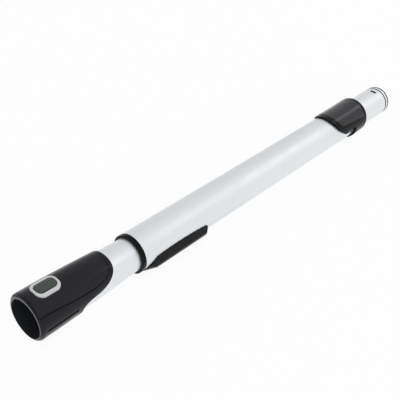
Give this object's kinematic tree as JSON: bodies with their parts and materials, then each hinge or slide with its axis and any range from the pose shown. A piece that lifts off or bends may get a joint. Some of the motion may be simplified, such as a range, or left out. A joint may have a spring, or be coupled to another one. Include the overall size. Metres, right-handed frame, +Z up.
{
  "type": "telescopic vacuum wand",
  "caption": "Straight telescopic vacuum cleaner wand: socket with latch button, fixed outer tube with parking saddle, lock slider and a sliding inner tube that ends in a spigot.",
  "frame": {"origin": "Middle of the closed wand's length and width, on the floor it lies on.", "axes": "+X runs along the wand from the socket mouth to the spigot, +Z is up and passes through the latch button, +Y completes the right-handed frame."},
  "size_m": [0.552, 0.0432, 0.0463],
  "materials": {
    "silver_tube": "fine satin, light silver",
    "black_plastic": "satin black moulding",
    "thumb_plastic": "satin black moulding, smooth",
    "grey_frame": "light silver-grey satin",
    "button_grey": "matte dark grey-green",
    "seal_rubber": "matte black",
    "steel": "plain spring steel"
  },
  "bodies": {
    "wand": {"neck_tube": "silver_tube", "socket_body": "black_plastic", "socket_top_cover": "black_plastic", "button_bezel": "grey_frame", "latch_pivot_pin": "steel", "latch_spring": "steel", "front_ring": "black_plastic", "outer_tube": "silver_tube", "parking_saddle": "black_plastic", "lock_housing": "black_plastic", "wiper_ring": "seal_rubber", "slider_springs": "steel"},
    "button": {"button_pad": "button_grey"},
    "latch": {"latch_lever": "black_plastic"},
    "slider": {"slider_sleeve": "black_plastic", "slider_thumb_pad": "thumb_plastic"},
    "shoe": {"lock_shoe": "black_plastic"},
    "inner": {"inner_tube": "silver_tube", "spigot_seal_ring": "seal_rubber", "spigot_end_ring": "black_plastic", "tail_guide_ring": "black_plastic", "tail_seal": "seal_rubber"}
  },
  "joints": [
    {"name": "telescope", "type": "slide", "parent": "wand", "child": "inner", "axis": [1, 0, 0], "range_m": [0, 0.275]},
    {"name": "lock_pull", "type": "slide", "parent": "wand", "child": "slider", "axis": [-1, 0, 0], "range_m": [0, 0.008], "stiffness_N_per_m": 400, "springref_m": -0.004, "deforming": ["slider_springs"]},
    {"name": "shoe_lift", "type": "slide", "parent": "wand", "child": "shoe", "axis": [0, 0, 1], "range_m": [0, 0.0006]},
    {"name": "button_press", "type": "slide", "parent": "wand", "child": "button", "axis": [0, 0, -1], "range_m": [0, 0.0018], "stiffness_N_per_m": 1800, "springref_m": -0.001, "deforming": ["latch_spring"]},
    {"name": "latch_rock", "type": "hinge", "parent": "wand", "child": "latch", "pos_m": [-0.2395, 0, 0.04125], "axis": [0, -1, 0], "range_deg": [0, 9]}
  ],
  "couplings": [
    {"joint": "latch_rock", "follows": "button_press", "rad_per_m": 85.47},
    {"joint": "shoe_lift", "follows": "lock_pull", "ratio": 0.0625}
  ]
}
